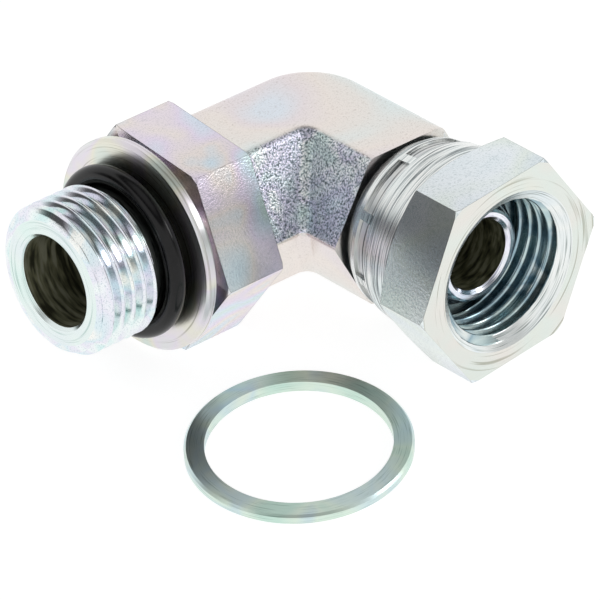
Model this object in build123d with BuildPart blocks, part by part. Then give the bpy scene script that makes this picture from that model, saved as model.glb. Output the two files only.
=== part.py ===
from build123d import *
import os
from math import cos, radians, sin, tan

# 90 degree adjustable stud elbow: a G 1/2 stud end with lock nut, washer and O-ring on one leg,
# and a crimped G 1/2 swivel nut on the other. Everything is in millimetres, with +Z up. The
# fitting lies on the floor z = 0 as it comes to rest: on the heel of the forging and its nuts.

os.makedirs("parts", exist_ok=True)

# How the fitting lies
CORNER = (15.41, 15.70, 11.544)  # where the two bore axes cross
STUD_RISE = 6.38           # the stud climbs from the corner to its tip, degrees
SWIVEL_LEAN = 3.83         # the swivel leg climbs too, about the stud's axis, degrees

# G 1/2 thread, drawn as its plain cylinders
THREAD_R = 20.955 / 2      # outside of the stud's thread
THREAD_DEPTH = 1.162
THREAD_MINOR_R = THREAD_R - THREAD_DEPTH
THREAD_FIT = 0.05          # the lock nut's radial clearance on the stud
THREAD_RUNOUT = 0.8        # slope at a thread's end

# Forging: a hexagonal bar section with one flat up, bent through a right angle
BODY_AF = 22.0
BODY_RIDGE_R = 1.0         # rounding of the section's ridges at mid height
BODY_EDGE_R = 1.6          # rounding along the flat top and bottom
BEND_R = 8.0               # plan radius of the outer corner, at the flat's edge
VALLEY_R = 1.6             # rounding of the inner corner
STUD_LEG_END = 18.6        # where the hexagon stops, from the corner
SWIVEL_LEG_END = 18.5

# Bores of the forging
STUD_BORE_R = 6.27
STUD_BORE_END = 4.5        # the drill goes this far past the corner
NIPPLE_BORE_R = 5.0
NIPPLE_BORE_END = 3.0
BORE_CHAMFER = 0.45
DRILL_HALF_ANGLE = 59.0

# Both nuts
NUT_WALL = 3.0225          # from the thread to a flat
NUT_AF = 2 * (THREAD_R + NUT_WALL)   # 27 mm
NUT_CORNER_R = NUT_AF / 2 / cos(radians(30))

# Lock nut, backed off to the forging, with a turned washer face
LOCK_NUT_GAP = 0.15
LOCK_NUT_LENGTH = 9.35
LOCK_NUT_TURN = -5.6       # how far its flats stand from level, degrees
LOCK_NUT_CHAMFER = 0.35
LOCK_NUT_COUNTERSINK = 0.4
LOCK_FACE_INSET = 1.5      # the face stands in from the flats
LOCK_FACE_R = NUT_AF / 2 - LOCK_FACE_INSET
LOCK_FACE_HEIGHT = 1.1
LOCK_NUT_BACK = STUD_LEG_END + LOCK_NUT_GAP
LOCK_NUT_FRONT = LOCK_NUT_BACK + LOCK_NUT_LENGTH

# Washer and O-ring on the undercut, each in front of the piece before it
UNDERCUT_DEPTH = 1.1775    # just below the thread's root
UNDERCUT_R = THREAD_R - UNDERCUT_DEPTH
WASHER_THICKNESS = 1.7
WASHER_R = 14.6
WASHER_EDGE = 0.4
WASHER_FIT = 0.1
WASHER_BACK = LOCK_NUT_FRONT + LOCK_FACE_HEIGHT
WASHER_FRONT = WASHER_BACK + WASHER_THICKNESS
ORING_SECTION_R = 1.31
ORING_FIT = 0.01
ORING_GAP = 0.79           # how far the washer can move towards the O-ring
ORING_X = WASHER_FRONT + ORING_GAP + ORING_SECTION_R
ORING_MEAN_R = UNDERCUT_R + ORING_FIT + ORING_SECTION_R

# Threads of the stud end
LOCK_THREAD_SETBACK = 0.2
LOCK_THREAD_END = WASHER_BACK - LOCK_THREAD_SETBACK
UNDERCUT_PAST_ORING = 0.89
MATING_THREAD_START = ORING_X + ORING_SECTION_R + UNDERCUT_PAST_ORING
MATING_THREAD_LENGTH = 9.5
STUD_TIP = MATING_THREAD_START + MATING_THREAD_LENGTH
STUD_CHAMFER = 0.95
STUD_CHAMFER_DEPTH = 1.48
STUD_TIP_R = THREAD_R - STUD_CHAMFER_DEPTH

# Nipple that holds the swivel nut: crimp groove, flange and 60 degree nose
GROOVE_R = 7.8
FLANGE_R = 9.0
GROOVE_LENGTH = 5.5
FLANGE_BACK = SWIVEL_LEG_END + GROOVE_LENGTH
NOSE_LAND = 0.85           # the flat tip round the bore's chamfer
NOSE_R = NIPPLE_BORE_R + BORE_CHAMFER + NOSE_LAND
NOSE_EDGE = 0.25
NOSE_HALF_ANGLE = 30.0
NOSE_LENGTH = (FLANGE_R - NOSE_R) / tan(radians(NOSE_HALF_ANGLE))
NIPPLE_LENGTH = 13.9
NIPPLE_TIP = SWIVEL_LEG_END + NIPPLE_LENGTH

# Swivel nut, outside: distances from its back end, which stands off the forging
SWIVEL_GAP = 0.7
SWIVEL_BAND_LENGTH = 4.8
SWIVEL_RING_LENGTH = 4.85
SWIVEL_HEX_LENGTH = 9.01
SWIVEL_TURN = 6.4          # how far its flats stand from level, degrees
SWIVEL_BAND_BACK = SWIVEL_LEG_END + SWIVEL_GAP
SWIVEL_RING_BACK = SWIVEL_BAND_BACK + SWIVEL_BAND_LENGTH   # the turned ring behind the hexagon
SWIVEL_HEX_BACK = SWIVEL_RING_BACK + SWIVEL_RING_LENGTH    # where the back chamfer starts
SWIVEL_FACE = SWIVEL_HEX_BACK + SWIVEL_HEX_LENGTH
SWIVEL_RING_DROP = 0.3     # the ring is turned this far below the flats
SWIVEL_BAND_DROP = 0.85    # the crimped band is pressed this far below the ring
SWIVEL_BAND_TAPER = 1.35
SWIVEL_TAPER_LENGTH = 1.4
SWIVEL_RING_R = NUT_AF / 2 - SWIVEL_RING_DROP
SWIVEL_BAND_R = SWIVEL_RING_R - SWIVEL_BAND_DROP
SWIVEL_BAND_BACK_R = SWIVEL_BAND_R - SWIVEL_BAND_TAPER
SWIVEL_FRONT_CHAMFER = 0.5

# Swivel nut, inside
MOUTH_MARGIN = 0.8225      # the countersink opens this far past the thread's root
SWIVEL_MOUTH_R = THREAD_R + MOUTH_MARGIN
SWIVEL_FLANGE_FIT = 0.05
SWIVEL_LIP_FIT = 0.3
SWIVEL_LIP_R = GROOVE_R + SWIVEL_LIP_FIT
SWIVEL_LIP_SLOPE = 0.4
SWIVEL_LIP_CHAMFER = 1.2
RELIEF_MARGIN = 0.1225
RELIEF_SLOPE = 0.8
NOSE_CLEARANCE = 0.2       # the plain thread stops this far in front of the nose
SWIVEL_RELIEF_R = THREAD_R + RELIEF_MARGIN
SWIVEL_RELIEF_END = NIPPLE_TIP - NOSE_LENGTH + SWIVEL_LIP_FIT
SWIVEL_THREAD_END = NIPPLE_TIP + NOSE_CLEARANCE

# Marks of the crimping jaws around the band
JAW_COUNT = 8
JAW_ARC = 39.0
JAW_FIRST = 64.5
JAW_DEPTH = 0.5
JAW_LENGTH = 2.2
JAW_SETBACK = 0.4
JAW_SLOPE = 0.2
JAW_FLOOR_R = SWIVEL_BAND_R - JAW_DEPTH
JAW_FRONT = SWIVEL_RING_BACK - JAW_SETBACK
JAW_BACK = JAW_FRONT - JAW_LENGTH

# Retaining ring: its hole goes over the O-ring
RING_FIT = 0.2
RING_WIDTH = 2.65
RING_HOLE_R = ORING_MEAN_R + ORING_SECTION_R + RING_FIT
RING_R = RING_HOLE_R + RING_WIDTH
RING_HEIGHT = 1.5
RING_EDGE = 0.3
RING_X = -16.49            # where it lies on the floor
RING_Y = -16.50

# The fitting's own plane holds both bore axes: the stud points along its -X, the swivel along -Y
pitch, lean = radians(STUD_RISE), radians(SWIVEL_LEAN)
legs = Plane(
    origin=CORNER,
    x_dir=(cos(pitch), 0, -sin(pitch)),
    z_dir=(sin(pitch) * cos(lean), sin(lean), cos(pitch) * cos(lean)),
)
stud_axis = Axis(legs.origin, -legs.x_dir)
swivel_axis = Axis(legs.origin, -legs.y_dir)

# Planes square to each axis, at the corner, facing along it with their local Y up
stud_section = Plane(origin=legs.origin, x_dir=-legs.y_dir, z_dir=-legs.x_dir)
swivel_section = Plane(origin=legs.origin, x_dir=legs.x_dir, z_dir=-legs.y_dir)

# The bend's centre is as far from both outer flats as the bend radius
body_corner_r = BODY_AF / 2 / cos(radians(30))
bend_offset = body_corner_r / 2 - BEND_R
bend_centre = legs.from_local_coords(Vector(bend_offset, bend_offset, 0))
bend_axis = Axis(bend_centre, legs.z_dir)


def in_legs(edge):
    """The edge's middle, measured in the fitting's own plane."""
    return legs.to_local_coords(edge.center())


def on_valley(edge):
    """Is this a crease where the two hexagonal legs meet inside the bend?"""
    middle = in_legs(edge)
    return abs(middle.X - middle.Y) < 0.01 and middle.X < -body_corner_r / 2


def on_flat(edge):
    """Is this an edge of the forging's flat top or bottom, other than at the legs' ends?"""
    middle = in_legs(edge)
    ends = middle.X < 0.1 - STUD_LEG_END or middle.Y < 0.1 - SWIVEL_LEG_END
    return abs(abs(middle.Z) - BODY_AF / 2) < 0.01 and not ends


# Elbow body: one forging with both ends turned
with BuildPart() as elbow_body:
    # the two hexagonal legs, from the bend's centre outward
    for section, leg_end in ((stud_section, STUD_LEG_END), (swivel_section, SWIVEL_LEG_END)):
        with BuildSketch(section.offset(-bend_offset)):
            RegularPolygon(radius=body_corner_r, side_count=6)
        extrude(amount=leg_end + bend_offset)
    # the outer half of the hexagon swung round the bend
    with BuildSketch(stud_section.offset(-bend_offset)):
        RegularPolygon(radius=body_corner_r, side_count=6)
        with Locations((-bend_offset, 0)):
            Rectangle(BODY_AF, BODY_AF * 2, align=(Align.MAX, Align.CENTER), mode=Mode.INTERSECT)
    revolve(axis=bend_axis, revolution_arc=-90)
    # forged roundings: the inner valley first, then the ridges at mid height and the flats' edges
    fillet(elbow_body.edges().filter_by(lambda edge: on_valley(edge)), VALLEY_R)
    fillet(elbow_body.edges().filter_by(lambda edge: abs(in_legs(edge).Z) < 0.01), BODY_RIDGE_R)
    fillet(elbow_body.edges().filter_by(lambda edge: on_flat(edge)), BODY_EDGE_R)
    # stud end: thread under the lock nut, undercut, mating thread and chamfered tip
    with BuildSketch(legs) as stud_profile:
        with BuildLine():
            Polyline(
                (0, 0),
                (-STUD_TIP, 0),
                (-STUD_TIP, STUD_TIP_R),
                (-STUD_TIP + STUD_CHAMFER, THREAD_R),
                (-MATING_THREAD_START - THREAD_RUNOUT, THREAD_R),
                (-MATING_THREAD_START, UNDERCUT_R),
                (-LOCK_THREAD_END, UNDERCUT_R),
                (-LOCK_THREAD_END + THREAD_RUNOUT, THREAD_R),
                (0, THREAD_R),
                close=True,
            )
        make_face()
    revolve(axis=stud_axis)
    # swivel end: crimp groove, flange and the 60 degree nose
    with BuildSketch(legs) as nipple_profile:
        with BuildLine():
            Polyline(
                (0, 0),
                (0, -NIPPLE_TIP),
                (NOSE_R, -NIPPLE_TIP),
                (FLANGE_R, -NIPPLE_TIP + NOSE_LENGTH),
                (FLANGE_R, -FLANGE_BACK),
                (GROOVE_R, -FLANGE_BACK),
                (GROOVE_R, 0),
                close=True,
            )
        make_face()
    revolve(axis=swivel_axis)
    # drilled flow ways that meet at the corner
    for tip, bore_r, end, axis, along in (
        (STUD_TIP, STUD_BORE_R, STUD_BORE_END, stud_axis, (-1, 0)),
        (NIPPLE_TIP, NIPPLE_BORE_R, NIPPLE_BORE_END, swivel_axis, (0, -1)),
    ):
        drill = bore_r / tan(radians(DRILL_HALF_ANGLE))
        points = (
            (tip, 0),
            (tip, bore_r + BORE_CHAMFER),
            (tip - BORE_CHAMFER, bore_r),
            (-end, bore_r),
            (-end - drill, 0),
        )
        with BuildSketch(legs):
            with BuildLine():
                # distance along the leg, distance across it
                Polyline(
                    *[(s * along[0] + r * along[1], s * along[1] + r * along[0]) for s, r in points],
                    close=True,
                )
            make_face()
        revolve(axis=axis, mode=Mode.SUBTRACT)
    # the nose's edge
    nose = elbow_body.edges().filter_by(GeomType.CIRCLE).filter_by(
        lambda edge: abs(edge.radius - NOSE_R) < 0.01
    )
    chamfer(nose, NOSE_EDGE)
elbow_body.part.label = "elbow_body"

# Lock nut: hexagon with a turned washer face, thread drawn as its plain bore
lock_hex = stud_section.offset(LOCK_NUT_BACK)
with BuildPart() as lock_nut:
    with BuildSketch(lock_hex):
        RegularPolygon(radius=NUT_CORNER_R, side_count=6, rotation=LOCK_NUT_TURN)
    extrude(amount=LOCK_NUT_FRONT - LOCK_NUT_BACK)
    with BuildSketch(legs):
        with BuildLine():
            rim = NUT_CORNER_R - LOCK_NUT_CHAMFER
            slope = LOCK_NUT_CHAMFER * tan(radians(30))
            Polyline(
                (-LOCK_NUT_BACK, 0),
                (-LOCK_NUT_BACK, rim),
                (-LOCK_NUT_BACK - slope, NUT_CORNER_R + 0.01),
                (-LOCK_NUT_FRONT + slope, NUT_CORNER_R + 0.01),
                (-LOCK_NUT_FRONT, rim),
                (-LOCK_NUT_FRONT, 0),
                close=True,
            )
        make_face()
    revolve(axis=stud_axis, mode=Mode.INTERSECT)
    with BuildSketch(lock_hex.offset(LOCK_NUT_FRONT - LOCK_NUT_BACK)):
        Circle(LOCK_FACE_R)
    extrude(amount=WASHER_BACK - LOCK_NUT_FRONT)
    with BuildSketch(lock_hex):
        Circle(THREAD_R + THREAD_FIT)
    extrude(amount=WASHER_BACK - LOCK_NUT_BACK, mode=Mode.SUBTRACT)
    # countersinks where the thread starts at each face
    rims = lock_nut.edges().filter_by(GeomType.CIRCLE).filter_by(
        lambda edge: abs(edge.radius - THREAD_R - THREAD_FIT) < 0.01
    )
    chamfer(rims, LOCK_NUT_COUNTERSINK)
lock_nut.part.label = "lock_nut"

# Backup washer, a flat steel ring that slides on the undercut
with BuildPart() as backup_washer:
    with BuildSketch(stud_section.offset(WASHER_BACK)):
        Circle(WASHER_R)
        Circle(UNDERCUT_R + WASHER_FIT, mode=Mode.SUBTRACT)
    extrude(amount=WASHER_FRONT - WASHER_BACK)
    rims = backup_washer.edges().filter_by(GeomType.CIRCLE).filter_by(
        lambda edge: edge.radius > WASHER_R - 0.01
    )
    chamfer(rims, WASHER_EDGE)
backup_washer.part.label = "backup_washer"

# O-ring in the undercut
with BuildPart() as o_ring:
    with BuildSketch(legs):
        with Locations((-ORING_X, ORING_MEAN_R)):
            Circle(ORING_SECTION_R)
    revolve(axis=stud_axis)
o_ring.part.label = "o_ring"

# Swivel nut: hexagon and crimped collar in one piece, held behind the nipple's flange
hex_back_slope = (NUT_CORNER_R - SWIVEL_RING_R) * tan(radians(30))
mouth_depth = (SWIVEL_MOUTH_R - THREAD_MINOR_R) / tan(radians(60))
with BuildPart() as swivel_nut:
    with BuildSketch(swivel_section.offset(SWIVEL_BAND_BACK)):
        RegularPolygon(radius=NUT_CORNER_R, side_count=6, rotation=SWIVEL_TURN)
    extrude(amount=SWIVEL_FACE - SWIVEL_BAND_BACK)
    # the turned outline trims the hexagon to its collar, chamfered behind and in front
    with BuildSketch(legs):
        with BuildLine():
            Polyline(
                (0, -SWIVEL_BAND_BACK),
                (SWIVEL_BAND_BACK_R, -SWIVEL_BAND_BACK),
                (JAW_FLOOR_R, -SWIVEL_BAND_BACK - SWIVEL_TAPER_LENGTH),
                (SWIVEL_BAND_R, -JAW_FRONT - JAW_SLOPE),
                (SWIVEL_BAND_R + JAW_SLOPE, -SWIVEL_RING_BACK),
                (SWIVEL_RING_R, -SWIVEL_HEX_BACK),
                (NUT_CORNER_R, -SWIVEL_HEX_BACK - hex_back_slope),
                (NUT_CORNER_R, -SWIVEL_FACE + SWIVEL_FRONT_CHAMFER * tan(radians(30))),
                (NUT_CORNER_R - SWIVEL_FRONT_CHAMFER, -SWIVEL_FACE),
                (0, -SWIVEL_FACE),
                close=True,
            )
        make_face()
    revolve(axis=swivel_axis, mode=Mode.INTERSECT)
    # inside: countersink, thread, relief, flange pocket and the lip crimped into the groove
    with BuildSketch(legs):
        with BuildLine():
            Polyline(
                (0, -SWIVEL_FACE),
                (SWIVEL_MOUTH_R, -SWIVEL_FACE),
                (THREAD_MINOR_R, -SWIVEL_FACE + mouth_depth),
                (THREAD_MINOR_R, -SWIVEL_THREAD_END),
                (SWIVEL_RELIEF_R, -SWIVEL_THREAD_END + RELIEF_SLOPE),
                (SWIVEL_RELIEF_R, -SWIVEL_RELIEF_END),
                (FLANGE_R + SWIVEL_FLANGE_FIT, -SWIVEL_RELIEF_END + RELIEF_SLOPE),
                (FLANGE_R + SWIVEL_FLANGE_FIT, -FLANGE_BACK + SWIVEL_LIP_FIT),
                (SWIVEL_LIP_R, -FLANGE_BACK + SWIVEL_LIP_FIT + SWIVEL_LIP_SLOPE),
                (SWIVEL_LIP_R, -SWIVEL_BAND_BACK - SWIVEL_LIP_CHAMFER),
                (SWIVEL_LIP_R + SWIVEL_LIP_CHAMFER, -SWIVEL_BAND_BACK),
                (0, -SWIVEL_BAND_BACK),
                close=True,
            )
        make_face()
    revolve(axis=swivel_axis, mode=Mode.SUBTRACT)
    # the marks of the eight crimping jaws around the band
    for jaw in range(JAW_COUNT):
        angle = radians(JAW_FIRST + jaw * 360 / JAW_COUNT)
        outward = legs.x_dir * cos(angle) + legs.z_dir * sin(angle)
        with BuildSketch(Plane(origin=legs.origin, x_dir=outward, z_dir=outward.cross(-legs.y_dir))):
            with BuildLine():
                Polyline(
                    (JAW_FLOOR_R, JAW_FRONT),
                    (NUT_CORNER_R, JAW_FRONT),
                    (NUT_CORNER_R, JAW_BACK),
                    (JAW_FLOOR_R - JAW_SLOPE, JAW_BACK),
                    close=True,
                )
            make_face()
        revolve(axis=swivel_axis, revolution_arc=JAW_ARC, mode=Mode.SUBTRACT)
swivel_nut.part.label = "swivel_nut"

# Retaining ring: goes round the O-ring in use, here lying flat on the floor
with BuildPart() as retaining_ring:
    with BuildSketch(Plane.XY):
        with Locations((RING_X, RING_Y)):
            Circle(RING_R)
            Circle(RING_HOLE_R, mode=Mode.SUBTRACT)
    extrude(amount=RING_HEIGHT)
    rims = retaining_ring.edges().filter_by(GeomType.CIRCLE).filter_by(
        lambda edge: edge.radius > RING_R - 0.01
    )
    chamfer(rims, RING_EDGE)
retaining_ring.part.label = "retaining_ring"

export_step(elbow_body.part, "parts/elbow_body.step")
export_step(lock_nut.part, "parts/lock_nut.step")
export_step(backup_washer.part, "parts/backup_washer.step")
export_step(o_ring.part, "parts/o_ring.step")
export_step(swivel_nut.part, "parts/swivel_nut.step")
export_step(retaining_ring.part, "parts/retaining_ring.step")
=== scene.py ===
import math

import bmesh
import bpy
import numpy as np
from mathutils import Matrix, Vector


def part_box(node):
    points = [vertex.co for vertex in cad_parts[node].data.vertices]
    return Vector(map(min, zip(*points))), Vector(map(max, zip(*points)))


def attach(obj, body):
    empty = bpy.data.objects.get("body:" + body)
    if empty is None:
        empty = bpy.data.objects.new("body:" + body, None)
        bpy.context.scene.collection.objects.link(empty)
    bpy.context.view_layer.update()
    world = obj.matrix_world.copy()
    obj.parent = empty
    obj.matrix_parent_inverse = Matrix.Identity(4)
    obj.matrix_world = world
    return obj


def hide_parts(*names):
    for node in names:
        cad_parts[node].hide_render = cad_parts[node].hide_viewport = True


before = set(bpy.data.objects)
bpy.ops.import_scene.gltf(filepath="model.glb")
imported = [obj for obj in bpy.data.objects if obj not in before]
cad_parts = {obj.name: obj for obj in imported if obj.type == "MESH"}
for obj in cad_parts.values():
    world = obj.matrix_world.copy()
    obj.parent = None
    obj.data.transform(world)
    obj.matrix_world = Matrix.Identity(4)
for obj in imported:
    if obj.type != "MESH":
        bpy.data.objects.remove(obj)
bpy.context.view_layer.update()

MM = 0.001

# Where the fitting lies. Its own plane: X away from the stud's tip, Y away from the swivel nut,
# Z out of the forging's flat
CORNER = Vector((15.41, 15.70, 11.544)) * MM   # where the two bores cross
STUD_RISE = math.radians(6.38)
SWIVEL_LEAN = math.radians(3.83)
LEG_X = Vector((math.cos(STUD_RISE), 0, -math.sin(STUD_RISE)))
LEG_Z = Vector((
    math.sin(STUD_RISE) * math.cos(SWIVEL_LEAN),
    math.sin(SWIVEL_LEAN),
    math.cos(STUD_RISE) * math.cos(SWIVEL_LEAN),
))
LEG_Y = LEG_Z.cross(LEG_X)
LEGS = Matrix((LEG_X, LEG_Y, LEG_Z)).transposed()
INWARD = -(LEG_X + LEG_Y).normalized()         # into the bend, between the legs

# Each leg: a point on its axis, the direction it points in, and where turning starts from
STUD = (CORNER, -LEG_X, -LEG_Y)
SWIVEL = (CORNER, -LEG_Y, LEG_X)
ring_low, ring_high = (Vector(corner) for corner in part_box("retaining_ring"))
RING = ((ring_low + ring_high) / 2, Vector((0, 0, 1)), Vector((1, 0, 0)))

# Sizes that the finer pieces share with the solids, in mm from the corner and from each axis
PITCH = 1.814                  # G 1/2: 14 threads an inch
MAJOR_R, MINOR_R = 20.955 / 2, 18.631 / 2
NUT_FLAT = 13.5                # from the axis to a nut's flat
BORE_CHAMFER = 0.45

# Stud leg
STUD_BORE_R = 6.27
UNDERCUT_R = 9.3
THREAD_START, STUD_TIP = 35.2, 44.7
THREAD_RUNOUT = 0.8
STUD_TIP_R = 8.6               # the flat end of the tip
TIP_ROUND = [(0.95, MAJOR_R), (0.55, 10.05), (0.25, 9.4), (0.1, 8.95)]   # back from the tip, and radius

# Swivel leg
NIPPLE_BORE_R, FLANGE_R = 5.0, 9.0
JAW_FLOOR_R = 11.85            # the pockets that the crimping jaws pressed
JAW_BACK, JAW_FRONT = 21.4, 23.6
RELIEF_R = 10.6                # the nut's plain inside behind its thread
RELIEF_BACK, RELIEF_FRONT, NUT_THREAD_START = 28.0, 29.0, 29.7
SWIVEL_FACE, SWIVEL_MOUTH_R = 37.86, 11.3
MOUTH_SLOPE = math.tan(math.radians(60))

# Relief that the materials draw
LOCK_NUT_FLAT, SWIVEL_NUT_FLAT = 24.4, 36.4   # where a flat stands round the axis, degrees
CROWN = 1.6                    # how much a flat falls away, mm for a radian squared
EDGE_WEAR = 0.2                # width of the rubbed line on the edges, mm
BLAST_DEPTH = 0.08             # how deep the pits of the forging's slopes are drawn, mm

# How finely the meshes are drawn
STEPS = 216                    # in a turn
SHARP, THREAD_SHARP = 32, 50   # edges over these angles stay sharp, degrees


def on_leg(leg, along, radius, turn):
    """The point this far along a leg and out from its axis, in mm, turned right-handed by turn radians."""
    origin, out, start = leg
    side = out.cross(start)
    return origin + (out * along + (start * math.cos(turn) + side * math.sin(turn)) * radius) * MM


def leg_measures(point):
    """(along the stud, out from its axis, along the swivel, out from its axis), mm."""
    x, y, z = LEGS.transposed() @ (Vector(point) - CORNER) / MM
    return -x, math.hypot(y, z), -y, math.hypot(x, z)


# Camera
SENSOR_WIDTH = 36              # mm
FOCAL = 7083.3 / 600 * SENSOR_WIDTH   # a long lens: 7083.3 pixels, for a photograph 600 wide
CAMERA_TURN, CAMERA_HEIGHT, CAMERA_ROLL = (math.radians(v) for v in (-41.94, 31.17, -0.55))
CAMERA_PLACE = (-1.401, -17.936, 932.95)   # right, up and back from the corner, mm


def add_camera():
    """The photograph's own viewpoint, worked out in the fitting's plane."""
    right = Vector((math.cos(CAMERA_TURN), math.sin(CAMERA_TURN), 0))
    back = Vector((
        math.sin(CAMERA_TURN) * math.cos(CAMERA_HEIGHT),
        -math.cos(CAMERA_TURN) * math.cos(CAMERA_HEIGHT),
        math.sin(CAMERA_HEIGHT),
    ))
    up = back.cross(right)
    turned_right = right * math.cos(CAMERA_ROLL) + up * math.sin(CAMERA_ROLL)
    turned_up = up * math.cos(CAMERA_ROLL) - right * math.sin(CAMERA_ROLL)
    place = turned_right * CAMERA_PLACE[0] + turned_up * CAMERA_PLACE[1] + back * CAMERA_PLACE[2]
    data = bpy.data.cameras.new("camera")
    data.lens = FOCAL
    data.sensor_width = SENSOR_WIDTH
    data.clip_end = 10
    camera = bpy.data.objects.new("camera", data)
    bpy.context.collection.objects.link(camera)
    axes = Matrix((LEGS @ turned_right, LEGS @ turned_up, LEGS @ back)).transposed().to_4x4()
    camera.matrix_world = Matrix.Translation(CORNER + LEGS @ place * MM) @ axes
    bpy.context.scene.camera = camera


add_camera()
bpy.context.scene.view_settings.view_transform = "Standard"

# Materials
MATH, VECTOR, MIX = "ShaderNodeMath", "ShaderNodeVectorMath", "ShaderNodeMix"
NOISE, RAMP, SPACE = "ShaderNodeTexNoise", "ShaderNodeValToRGB", "ShaderNodeTexCoord"
# A Mix node takes its two colours at sockets 6 and 7 and gives the result at 2
STAIN = {"data_type": "RGBA", "blend_type": "MULTIPLY"}


def colour(code):
    """An sRGB hex colour, or a plain linear level, as linear RGBA."""
    if not isinstance(code, str):
        return [code, code, code, 1.0]
    parts = [int(code[i:i + 2], 16) / 255 for i in (1, 3, 5)]
    return [c / 12.92 if c <= 0.04045 else ((c + 0.055) / 1.055) ** 2.4 for c in parts] + [1.0]


def add(tree, kind, links=None, stops=None, **settings):
    """A new node with its settings. links gives an input its value or its socket, stops fill a ramp."""
    made = tree.nodes.new(kind)
    for key, value in settings.items():
        setattr(made, key, value)
    for key, value in (links or {}).items():
        if isinstance(value, bpy.types.NodeSocket):
            tree.links.new(value, made.inputs[key])
        else:
            made.inputs[key].default_value = value
    if stops:
        points = made.color_ramp.elements
        for point, (where, code) in zip(points, (stops[0], stops[-1])):
            point.position = where
            point.color = colour(code)
        for where, code in stops[1:-1]:
            points.new(where).color = colour(code)
    return made


def new_material(name, **shader):
    """A node material with one Principled shader. Returns (material, tree, shader)."""
    made = bpy.data.materials.new(name)
    made.use_nodes = True
    tree = made.node_tree
    tree.nodes.clear()
    bsdf = add(tree, "ShaderNodeBsdfPrincipled", {key.replace("_", " "): v for key, v in shader.items()})
    add(tree, "ShaderNodeOutputMaterial", {"Surface": bsdf.outputs[0]})
    return made, tree, bsdf


def lathe_space(tree, leg, feed_mm, arcs):
    """Coordinates in which noise gives lathe marks: one every feed_mm, long round the leg's axis."""
    origin, out, _ = leg
    point = add(tree, SPACE).outputs["Object"]
    away = add(tree, VECTOR, {0: point, 1: origin}, operation="SUBTRACT").outputs[0]
    along = add(tree, VECTOR, {0: away, 1: out}, operation="DOT_PRODUCT").outputs["Value"]
    beside = add(tree, VECTOR, {0: away, 1: out}, operation="PROJECT").outputs[0]
    across = add(tree, VECTOR, {0: away, 1: beside}, operation="SUBTRACT").outputs[0]
    radius = add(tree, VECTOR, {0: across}, operation="LENGTH").outputs["Value"]
    # the share of the radius lets the marks cross faces that are square to the axis too
    feed = add(tree, MATH, {0: radius, 1: 0.7, 2: along}, operation="MULTIPLY_ADD").outputs[0]
    marks = add(tree, MATH, {0: feed, 1: 1 / (feed_mm * MM)}, operation="MULTIPLY").outputs[0]
    lifted = add(tree, VECTOR, {0: out, "Scale": marks}, operation="SCALE").outputs[0]
    around = add(tree, VECTOR, {0: across}, operation="NORMALIZE").outputs[0]
    arced = {0: around, 1: (arcs, arcs, arcs), 2: lifted}
    return add(tree, VECTOR, arced, operation="MULTIPLY_ADD").outputs[0]


def tinted(tree, tints, patch_mm):
    """The passivation's tints, drifting into each other in patches of about patch_mm."""
    where = add(tree, SPACE).outputs["Object"]
    patches = {"Vector": where, "Scale": 1 / (patch_mm * MM), "Detail": 1.5, "Distortion": 0.4}
    drift = add(tree, NOISE, patches).outputs["Fac"]
    stops = [(0.3 + 0.4 * i / (len(tints) - 1), tint) for i, tint in enumerate(tints)]
    return add(tree, RAMP, {"Fac": drift}, stops).outputs["Color"]


def edged(tree, base):
    """The colour with a thin worn line along sharp edges, where the plate is rubbed grey."""
    rounded = add(tree, "ShaderNodeBevel", {"Radius": EDGE_WEAR * MM}, samples=6).outputs[0]
    flat = add(tree, "ShaderNodeNewGeometry").outputs["Normal"]
    bend = add(tree, VECTOR, {0: rounded, 1: flat}, operation="DOT_PRODUCT").outputs["Value"]
    worn = add(tree, RAMP, {"Fac": bend}, [(0.86, "#85827b"), (0.98, "#ffffff")]).outputs["Color"]
    return add(tree, MIX, {0: 1.0, 6: base, 7: worn}, **STAIN).outputs[2]


def crowned(tree, leg, first_flat, relief):
    """Relief in mm with each flat of a hexagon crowned, as drawn bar is, so that it shades across."""
    origin, out, start = leg
    point = add(tree, SPACE).outputs["Object"]
    away = add(tree, VECTOR, {0: point, 1: origin}, operation="SUBTRACT").outputs[0]
    up = add(tree, VECTOR, {0: away, 1: out.cross(start)}, operation="DOT_PRODUCT").outputs["Value"]
    across = add(tree, VECTOR, {0: away, 1: start}, operation="DOT_PRODUCT").outputs["Value"]
    angle = add(tree, MATH, {0: up, 1: across}, operation="ARCTAN2").outputs[0]
    from_flat = add(tree, MATH, {0: angle, 1: math.radians(first_flat)}, operation="SUBTRACT").outputs[0]
    turn = add(tree, MATH, {0: from_flat, 1: math.pi / 6, 2: -math.pi / 6}, operation="WRAP").outputs[0]
    squared = add(tree, MATH, {0: turn, 1: turn}, operation="MULTIPLY").outputs[0]
    return add(tree, MATH, {0: squared, 1: -CROWN, 2: relief}, operation="MULTIPLY_ADD").outputs[0]


def finish(tree, bsdf, base, relief):
    """Links the colour and the relief in mm to the shader."""
    bump = add(tree, "ShaderNodeBump", {"Height": relief, "Strength": 1.0, "Distance": MM})
    tree.links.new(base, bsdf.inputs["Base Color"])
    tree.links.new(bump.outputs[0], bsdf.inputs["Normal"])


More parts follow.
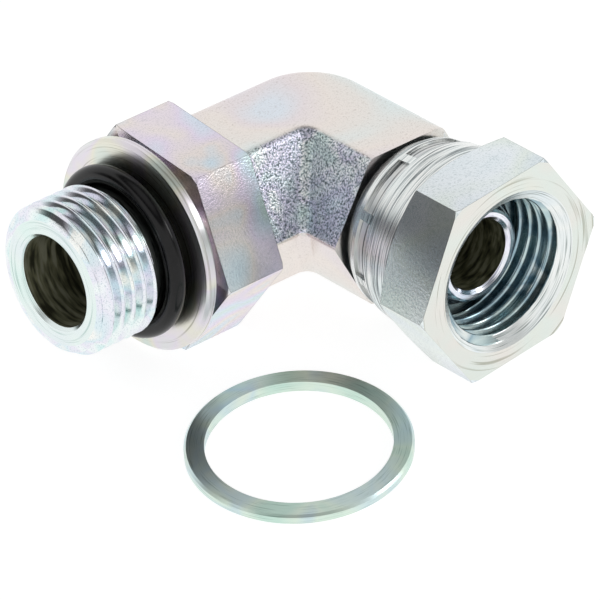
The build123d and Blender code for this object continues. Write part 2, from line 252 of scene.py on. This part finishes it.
def plated(name, tints, patch_mm, specks, grain_mm=0.2, roughness=0.25, depth_mm=0.01, hexagon=None):
    """Zinc plate on a drawn or rolled face: tints in patches, with the steel's grain showing through."""
    made, tree, bsdf = new_material(name, Metallic=1.0, Roughness=roughness)
    where = add(tree, SPACE).outputs["Object"]
    # the real grain is under 0.1 mm: drawn two or three times as coarse, to show
    grain = add(tree, NOISE, {"Vector": where, "Scale": 1 / (grain_mm * MM), "Detail": 2.0}).outputs["Fac"]
    speckled = add(tree, RAMP, {"Fac": grain}, specks).outputs["Color"]
    base = add(tree, MIX, {0: 1.0, 6: tinted(tree, tints, patch_mm), 7: speckled}, **STAIN).outputs[2]
    relief = add(tree, MATH, {0: grain, 1: depth_mm}, operation="MULTIPLY").outputs[0]
    if hexagon:
        base = edged(tree, base)
        relief = crowned(tree, *hexagon, relief)
    finish(tree, bsdf, base, relief)
    return made


def turned(name, leg, tints, patch_mm, marks, feed_mm=0.2, arcs=2.0, roughness=0.22, depth_mm=0.005,
           metallic=1.0):
    """Zinc plate on a lathe-turned face: fine marks round the axis, dark where the tool dug in."""
    made, tree, bsdf = new_material(name, Metallic=metallic, Roughness=roughness)
    # real feeds are 0.1 to 0.2 mm a turn: a wider one is drawn coarser, to show
    space = lathe_space(tree, leg, feed_mm, arcs)
    lines = add(tree, NOISE, {"Vector": space, "Scale": 1.0, "Detail": 2.0}).outputs["Fac"]
    lined = add(tree, RAMP, {"Fac": lines}, marks).outputs["Color"]
    base = add(tree, MIX, {0: 1.0, 6: tinted(tree, tints, patch_mm), 7: lined}, **STAIN).outputs[2]
    relief = add(tree, MATH, {0: lines, 1: depth_mm}, operation="MULTIPLY").outputs[0]
    finish(tree, bsdf, base, relief)
    return made


def forged():
    """Zinc plate on hot-forged steel: smooth where the die pressed, blasted grain inside the bend.

    The smooth faces read as one pale beige sheet with a little blue in it. The blasted slopes
    glitter: their pits are painted dark, as painted shade, and their tops white, as painted glints.
    """
    made, tree, bsdf = new_material("hot_forged_zinc", Metallic=1.0, Roughness=0.27)
    where = add(tree, SPACE).outputs["Object"]
    smooth = tinted(tree, ("#dfeaea", "#e8e4df", "#ebe3dd", "#e6dee0", "#dde4ec"), 17)
    scale = add(tree, NOISE, {"Vector": where, "Scale": 1 / (0.25 * MM), "Detail": 2.0}).outputs["Fac"]
    faint = add(tree, RAMP, {"Fac": scale}, [(0.3, "#ebe9e7"), (0.45, "#ffffff")]).outputs["Color"]
    pressed = add(tree, MIX, {0: 1.0, 6: smooth, 7: faint}, **STAIN).outputs[2]

    # real blast pits are about 0.1 mm: drawn more than twice as coarse, to show
    pits = add(tree, NOISE, {"Vector": where, "Scale": 1 / (0.25 * MM), "Detail": 5.0}).outputs["Fac"]
    # the pits' floors are painted near black, as painted shade, and the grain's tops white, as painted
    # glints
    pit_shade_and_glints = add(tree, RAMP, {"Fac": pits}, [
        (0.32, "#2c3639"), (0.41, "#93a2a6"), (0.48, "#d6dee1"), (0.55, "#f6f8fa"), (0.66, "#ffffff"),
    ]).outputs["Color"]
    drift = tinted(tree, ("#eaf6f2", "#ffffff", "#ece6f6", "#f6f8ff", "#e2f0ee"), 5)
    blasted = add(tree, MIX, {0: 1.0, 6: pit_shade_and_glints, 7: drift}, **STAIN).outputs[2]

    # the slopes: neither the flat on top nor the sides below, and strongest inside the bend
    normal = add(tree, SPACE).outputs["Normal"]
    rise = add(tree, VECTOR, {0: normal, 1: LEG_Z}, operation="DOT_PRODUCT").outputs["Value"]
    inward = add(tree, VECTOR, {0: normal, 1: INWARD}, operation="DOT_PRODUCT").outputs["Value"]
    sloping = [(0.12, 0.0), (0.25, 1.0), (0.86, 1.0), (0.97, 0.0)]
    upper = add(tree, RAMP, {"Fac": rise}, sloping).outputs["Color"]
    inner = add(tree, RAMP, {"Fac": inward}, [(0.0, 0.25), (0.3, 1.0)]).outputs["Color"]
    rough = add(tree, MIX, {0: 1.0, 6: upper, 7: inner}, **STAIN).outputs[2]

    base = add(tree, MIX, {0: rough, 6: pressed, 7: blasted}, data_type="RGBA").outputs[2]
    depth = add(tree, MATH, {0: rough, 1: BLAST_DEPTH}, operation="MULTIPLY").outputs[0]
    relief = add(tree, MATH, {0: pits, 1: depth}, operation="MULTIPLY").outputs[0]
    # pits scatter the light, so the slopes are a little paler than a mirror would be
    shine = add(tree, MATH, {0: rough, 1: -0.15, 2: 1.0}, operation="MULTIPLY_ADD").outputs[0]
    tree.links.new(shine, bsdf.inputs["Metallic"])
    finish(tree, bsdf, base, relief)
    return made


def nitrile():
    """Moulded nitrile rubber: black, with a soft gloss that breaks up into a faint bloom."""
    made, tree, bsdf = new_material("nitrile_rubber", Specular_IOR_Level=0.3)
    where = add(tree, SPACE).outputs["Object"]
    bloom = add(tree, NOISE, {"Vector": where, "Scale": 1 / (0.6 * MM), "Detail": 2.0}).outputs["Fac"]
    base = add(tree, RAMP, {"Fac": bloom}, [(0.35, "#060607"), (0.65, "#0e0d0f")]).outputs["Color"]
    gloss = add(tree, MATH, {0: bloom, 1: 0.12, 2: 0.12}, operation="MULTIPLY_ADD").outputs[0]
    tree.links.new(base, bsdf.inputs["Base Color"])
    tree.links.new(gloss, bsdf.inputs["Roughness"])
    return made


forging_plate = forged()
# The lock nut's flats: drawn hexagon bar, whose thin clear passivation turns lilac, blue and green
lock_nut_plate = plated(
    "drawn_bar_zinc_iridescent", ("#cfe6de", "#d6e2ee", "#e3d9e9", "#e9e0dc", "#d3e2ec", "#dceadd"), 12,
    [(0.3, "#eceeef"), (0.5, "#ffffff")], grain_mm=0.25, depth_mm=0.02, hexagon=(STUD, LOCK_NUT_FLAT))
# The swivel nut's flats: the same bar with a cooler, more even plate
swivel_nut_plate = plated(
    "drawn_bar_zinc_cool", ("#dfe9ee", "#e8eef2", "#e3ebe6", "#dde6ea"), 14,
    [(0.3, "#e6eaea"), (0.5, "#ffffff")], grain_mm=0.3, depth_mm=0.016, hexagon=(SWIVEL, SWIVEL_NUT_FLAT))
# Faced end of the swivel nut: pale beige rings left by the facing tool
faced_end = turned(
    "faced_zinc_swivel_nut", SWIVEL, ("#e4e4da", "#dfe6e0", "#e6e2dc"), 10,
    [(0.3, "#cfcec6"), (0.42, "#ffffff"), (0.7, "#ffffff")], feed_mm=0.3, arcs=1.0, roughness=0.27)
# Collar: rough-turned and wiped bright by the crimping die, in white and grey streaks
collar_turned = turned(
    "rough_turned_zinc_collar", SWIVEL, ("#eef2f1", "#f3f3f1", "#e4ecec"), 8,
    [(0.32, "#757b7e"), (0.42, "#c0c6c8"), (0.5, "#f2f5f5"), (0.65, "#ffffff")],
    feed_mm=0.25, arcs=1.7, roughness=0.27, depth_mm=0.015)
# Pockets that the crimping jaws pressed in the band: burnished, so greyer and duller than the collar
pressed_pocket = turned(
    "jaw_pressed_zinc", SWIVEL, ("#d6d9da", "#dfe0de", "#cdd1d3"), 4,
    [(0.35, "#54585a"), (0.5, "#ffffff")], feed_mm=0.3, arcs=1.2, roughness=0.33)
# Stud end: fine turning under a bright mint plate
stud_turned = turned(
    "fine_turned_zinc_stud", STUD, ("#d9f0ea", "#e6f1ee", "#e3ecef"), 9,
    [(0.3, "#d0dedb"), (0.45, "#ffffff")], feed_mm=0.2, arcs=0.8, roughness=0.2)
# Undercut behind the thread: turned and dull, its colour darkened to grey as painted shade of the gap
# between the thread and the seal
undercut_painted_shade = turned(
    "turned_zinc_undercut_painted_shade", STUD, ("#6f7472", "#7d807c"), 5,
    [(0.35, "#3a3d3c"), (0.5, "#ffffff")], roughness=0.35)
# Nipple's nose: finely turned for sealing, so the brightest and smoothest face
nose_turned = turned(
    "fine_turned_zinc_nose", SWIVEL, ("#e6e3f2", "#f0f1f7", "#d5e0ee"), 4,
    [(0.3, "#8e94a6"), (0.45, "#ffffff")], feed_mm=0.2, arcs=1.5, roughness=0.16)
# Drilled bores: the plate is thin and stained olive, with rings and scratches from the drill
stud_drilled = turned(
    "drilled_zinc_stud_bore", STUD, ("#96967f", "#858673", "#a2a28c"), 6,
    [(0.36, "#5c5d52"), (0.5, "#c4c4b4"), (0.64, "#ffffff")],
    feed_mm=0.7, arcs=1.6, roughness=0.42, metallic=0.25)
nipple_drilled = turned(
    "drilled_zinc_nipple_bore", SWIVEL, ("#8a8a72", "#7a7b66"), 6,
    [(0.36, "#4c4d42"), (0.5, "#b4b4a2"), (0.64, "#ffffff")],
    feed_mm=0.7, arcs=2.2, roughness=0.42, metallic=0.25)
# Stud thread: rolled, so its crests are smooth and glint, with mint and lilac tints drifting over it
rolled_thread = plated(
    "rolled_thread_zinc", ("#d3eceb", "#eff6f5", "#e9e8f2", "#dcebf0", "#f4f5f1"), 5,
    [(0.3, "#dbe3e7"), (0.42, "#f8fafa"), (0.5, "#ffffff")], roughness=0.12, depth_mm=0.004)
# Swivel nut's thread: cut, softer, and blue-grey to teal in the shade of the mouth
cut_thread = turned(
    "cut_thread_zinc", SWIVEL, ("#a8c3c8", "#c6d6d5", "#93adb8", "#dde4e2"), 5,
    [(0.3, "#7e979e"), (0.45, "#ffffff")], feed_mm=0.4, arcs=1.0, roughness=0.2)
# Countersink at its mouth: cut with a broad tool that left grey streaks in the bright cone
mouth_turned = turned(
    "countersunk_zinc_mouth", SWIVEL, ("#e9eeee", "#eef1ef", "#e2eaec"), 6,
    [(0.3, "#8d9492"), (0.4, "#dfe3e2"), (0.5, "#ffffff")], feed_mm=0.22, arcs=1.6, roughness=0.26)
# Washer: turned faces in lilac and beige
washer_turned = turned(
    "turned_zinc_washer", STUD, ("#dfe3e0", "#e3dde6", "#e6e4d6", "#d6e2dc"), 7,
    [(0.3, "#c2c2ba"), (0.45, "#ffffff")], feed_mm=0.16, arcs=0.9, roughness=0.28)
# Loose ring: turned faces in grey-green, finer than the washer's
ring_turned = turned(
    "turned_zinc_ring", RING, ("#c9e4d8", "#dcecdf", "#cfe2e4", "#e0eadb"), 7,
    [(0.3, "#d3dcd9"), (0.45, "#ffffff")], feed_mm=0.1, arcs=3.0, roughness=0.3, depth_mm=0.001)
rubber = nitrile()


# Shapes
def as_object(name, bm, materials, sharp):
    """Links a bmesh as an object with smooth faces and edges that are sharp above an angle."""
    mesh = bpy.data.meshes.new(name)
    bmesh.ops.recalc_face_normals(bm, faces=bm.faces)
    bm.to_mesh(mesh)
    bm.free()
    mesh.shade_smooth()
    mesh.set_sharp_from_angle(angle=math.radians(sharp))
    made = bpy.data.objects.new(name, mesh)
    bpy.context.collection.objects.link(made)
    for material in materials:
        mesh.materials.append(material)
    return made


def plated_copy(node, name, materials, kind):
    """A copy of a node's mesh in which kind gives each face its material, or None to leave it out."""
    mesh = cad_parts[node].data.copy()
    made = bpy.data.objects.new(name, mesh)
    bpy.context.collection.objects.link(made)
    mesh.materials.clear()
    for material in materials:
        mesh.materials.append(material)
    bm = bmesh.new()
    bm.from_mesh(mesh)
    taken = []
    for face in bm.faces:
        material = kind(*leg_measures(face.calc_center_median()), LEGS.transposed() @ face.normal)
        if material is None:
            taken.append(face)
        else:
            face.material_index = materials.index(material)
    bmesh.ops.delete(bm, geom=taken, context="FACES")
    bm.to_mesh(mesh)
    bm.free()
    return made


def whitworth(turn):
    """Height of the 55 degree form at a share of the pitch, from -1 at the root to 1 at the crest."""
    t = turn % 1.0
    t = min(t, 1 - t)
    if t < 1 / 6:
        return -1 + 18 * t * t
    if t > 1 / 3:
        return 1 - 18 * (0.5 - t) ** 2
    return 6 * (t - 0.25)


# Shares of the pitch at which the form is sampled, closer at the root and the crest
FORM = [0, 0.02, 0.04, 0.06, 0.08, 0.1, 0.12, 0.145, 1 / 6]
FORM += [0.19, 0.21, 0.23, 0.25, 0.27, 0.29, 0.31, 1 / 3, 0.36, 0.38, 0.4, 0.42, 0.44, 0.46, 0.48]
FORM += [0.5] + [1 - t for t in reversed(FORM)]


def thread(name, leg, outline, inside, materials):
    """A right-handed thread cut into an outline of (mm along, radius) points, which also ends it.

    Outside, the surface is the lower of the outline and the thread; inside, it is the higher.
    """
    along = [p[0] for p in outline]
    radii = [p[1] for p in outline]
    first, last = along[0], along[-1]
    turns = int((last - first) / PITCH) + 2
    middle, swing = (MAJOR_R + MINOR_R) / 2, (MAJOR_R - MINOR_R) / 2
    bm = bmesh.new()
    rows = []
    for step in range(turns * STEPS + 1):
        angle = 2 * math.pi * step / STEPS
        row = []
        for form in FORM:
            s = first + PITCH * (step / STEPS + form - 1)
            held = min(max(s, first), last)
            limit = float(np.interp(held, along, radii))
            r = middle + swing * whitworth(form)
            r = max(limit, r) if inside else min(limit, r)
            if s != held:
                r = limit
            row.append(bm.verts.new(on_leg(leg, held, r, angle)))
        rows.append(row)
    for a, b in zip(rows, rows[1:]):
        for i in range(len(a) - 1):
            bm.faces.new((a[i], a[i + 1], b[i + 1], b[i]))
    bmesh.ops.remove_doubles(bm, verts=bm.verts, dist=0.002 * MM)
    bmesh.ops.dissolve_degenerate(bm, dist=0.001 * MM, edges=bm.edges)
    return as_object(name, bm, materials, THREAD_SHARP)


def revolved(name, leg, outline, materials):
    """A turned surface: an outline of (mm along, radius) points swung round a leg's axis."""
    bm = bmesh.new()
    rings = [
        [bm.verts.new(on_leg(leg, s, r, 2 * math.pi * k / STEPS)) for k in range(STEPS)]
        for s, r in outline
    ]
    for a, b in zip(rings, rings[1:]):
        for k in range(STEPS):
            j = (k + 1) % STEPS
            bm.faces.new((a[k], a[j], b[j], b[k]))
    return as_object(name, bm, materials, SHARP)


# Forging. The small margins below count a facet's middle as on the surface that it belongs to
def forging_kind(s, r, q, p, normal):
    """The finish of a face of the forging, from its place on the legs, without the stud's thread."""
    if s > THREAD_START - 0.01 and r > STUD_BORE_R + 0.05:
        return None
    if r < STUD_BORE_R + 0.05 and s > -STUD_BORE_R:
        return stud_drilled
    if p < NIPPLE_BORE_R + 0.03 and q > -STUD_BORE_R:
        return nipple_drilled
    if r < MAJOR_R + 0.1 and s > 0:
        return undercut_painted_shade
    return nose_turned if p < FLANGE_R + 0.1 and q > 0 else forging_plate


forging_finishes = [forging_plate, undercut_painted_shade, nose_turned, stud_drilled, nipple_drilled]
forging = plated_copy("elbow_body", "forging", forging_finishes, forging_kind)
stud_outline = [(THREAD_START, UNDERCUT_R), (THREAD_START + THREAD_RUNOUT, MAJOR_R)]
stud_outline += [(STUD_TIP - back, radius) for back, radius in TIP_ROUND] + [(STUD_TIP, STUD_TIP_R)]
stud_thread = thread("stud_thread", STUD, stud_outline, inside=False, materials=[rolled_thread])
stud_tip = revolved("stud_tip", STUD, [
    (STUD_TIP, STUD_TIP_R), (STUD_TIP, STUD_BORE_R + BORE_CHAMFER), (STUD_TIP - BORE_CHAMFER, STUD_BORE_R),
], [stud_turned])
for piece in (forging, stud_thread, stud_tip):
    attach(piece, "elbow")
    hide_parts("elbow_body")


# Swivel nut
def swivel_kind(s, r, q, p, normal):
    """The finish of a face of the swivel nut, from its place on its leg, without its thread."""
    if RELIEF_BACK + 0.05 < q < SWIVEL_FACE - 0.01 and MINOR_R - 0.05 < p < SWIVEL_MOUTH_R - 0.02:
        return None
    if q > SWIVEL_FACE - 0.01:
        return faced_end
    if p < MAJOR_R + 0.2:
        return cut_thread
    if p < NUT_FLAT - 0.05 or normal.y > 0.2:
        on_pocket = JAW_FLOOR_R - 0.45 < p < JAW_FLOOR_R + 0.1 and JAW_BACK - 0.1 < q < JAW_FRONT + 0.1
        return pressed_pocket if on_pocket else collar_turned
    return swivel_nut_plate


swivel_finishes = [swivel_nut_plate, faced_end, collar_turned, pressed_pocket, cut_thread]
swivel_shell = plated_copy("swivel_nut", "swivel_nut_shell", swivel_finishes, swivel_kind)
nut_thread = thread("swivel_nut_thread", SWIVEL, [
    (RELIEF_BACK, RELIEF_R), (RELIEF_FRONT, RELIEF_R), (NUT_THREAD_START, MINOR_R),
    (SWIVEL_FACE - (SWIVEL_MOUTH_R - MINOR_R) / MOUTH_SLOPE, MINOR_R), (SWIVEL_FACE, SWIVEL_MOUTH_R),
], inside=True, materials=[cut_thread, mouth_turned])
for face in nut_thread.data.polygons:
    _, _, q, p = leg_measures(face.center)
    if p < SWIVEL_MOUTH_R - (SWIVEL_FACE - q) * MOUTH_SLOPE + 0.04:
        face.material_index = 1   # the countersink, where the thread is cut away
for piece in (swivel_shell, nut_thread):
    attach(piece, "swivel_nut")
    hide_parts("swivel_nut")

# The other pieces keep their solids' own meshes
for node, material in (("lock_nut", lock_nut_plate), ("backup_washer", washer_turned), ("o_ring", rubber),
                       ("retaining_ring", ring_turned)):
    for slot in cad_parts[node].material_slots:
        slot.material = material

# Floor and light
PAPER_GLOW = 0.86              # what the shadows leave of the white
PAPER_SHADE = 0.3              # what they can take of it


def add_floor():
    """White paper, as bright as the background to the camera and to the metal, with soft shadows."""
    bpy.ops.mesh.primitive_plane_add(size=6, location=(0, 0, 0))
    floor = bpy.context.object
    floor.name = "floor"
    made = bpy.data.materials.new("white_paper")
    made.use_nodes = True
    tree = made.node_tree
    tree.nodes.clear()
    paper = add(tree, "ShaderNodeBsdfDiffuse", {"Color": colour("#f4f4f4")})
    shade = add(tree, "ShaderNodeBsdfDiffuse", {"Color": colour(PAPER_SHADE)})
    glow = add(tree, "ShaderNodeEmission", {"Color": colour(1.0), "Strength": PAPER_GLOW})
    white = add(tree, "ShaderNodeAddShader", {0: shade.outputs[0], 1: glow.outputs[0]})
    rays = add(tree, "ShaderNodeLightPath").outputs
    seen = rays["Is Camera Ray"]
    for kind in ("Is Glossy Ray", "Is Transmission Ray"):
        seen = add(tree, MATH, {0: seen, 1: rays[kind]}, operation="MAXIMUM").outputs[0]
    both = add(tree, "ShaderNodeMixShader", {0: seen, 1: paper.outputs[0], 2: white.outputs[0]})
    add(tree, "ShaderNodeOutputMaterial", {"Surface": both.outputs[0]})
    floor.data.materials.append(made)


# The walls' light by the sine of the height: white, then a dim band, then the light overhead
WALL_STOPS = [(0.0, 0.97), (0.67, 0.97), (0.76, 0.1), (0.85, 0.14), (0.95, 0.62), (1.0, 0.7)]
# Two unlit stretches of wall, and what light they keep: behind on the left, and low on the right
# under the softbox
DARK_WALLS = (
    (LEGS @ Vector((-0.76, 0.636, 0.18)).normalized(), 0.08),
    (LEGS @ Vector((0.572, -0.767, 0.38)).normalized(), 0.4),
)


def add_world():
    """A white studio with a dim band under its overhead light and two unlit stretches of wall."""
    world = bpy.data.worlds.new("studio")
    bpy.context.scene.world = world
    world.use_nodes = True
    tree = world.node_tree
    tree.nodes.clear()
    look = add(tree, SPACE).outputs["Generated"]
    height = add(tree, "ShaderNodeSeparateXYZ", {0: look}).outputs["Z"]
    walls = add(tree, RAMP, {"Fac": height}, WALL_STOPS).outputs["Color"]
    for centre, level in DARK_WALLS:
        toward = add(tree, VECTOR, {0: look, 1: centre}, operation="DOT_PRODUCT").outputs["Value"]
        dark = add(tree, RAMP, {"Fac": toward}, [(0.92, 1.0), (0.985, level)]).outputs["Color"]
        walls = add(tree, MIX, {0: 1.0, 6: walls, 7: dark}, **STAIN).outputs[2]
    seen = add(tree, "ShaderNodeLightPath").outputs["Is Camera Ray"]
    both = add(tree, MIX, {0: seen, 6: walls, 7: colour(1.0)}, data_type="RGBA").outputs[2]
    sky = add(tree, "ShaderNodeBackground", {"Color": both, "Strength": 1.0})
    add(tree, "ShaderNodeOutputWorld", {"Surface": sky.outputs[0]})


def add_softbox(name, direction, distance, size, power):
    """A square softbox, this far from the fitting in a direction given in its own plane."""
    data = bpy.data.lights.new(name, "AREA")
    data.shape = "SQUARE"
    data.size = size
    data.energy = power
    lamp = bpy.data.objects.new(name, data)
    bpy.context.collection.objects.link(lamp)
    toward = (LEGS @ Vector(direction)).normalized()
    lamp.location = toward * distance
    lamp.rotation_euler = toward.to_track_quat("Z", "Y").to_euler()


add_floor()
add_world()
add_softbox("right_softbox", (0.572, -0.627, 0.53), distance=0.7, size=0.2, power=0.5)
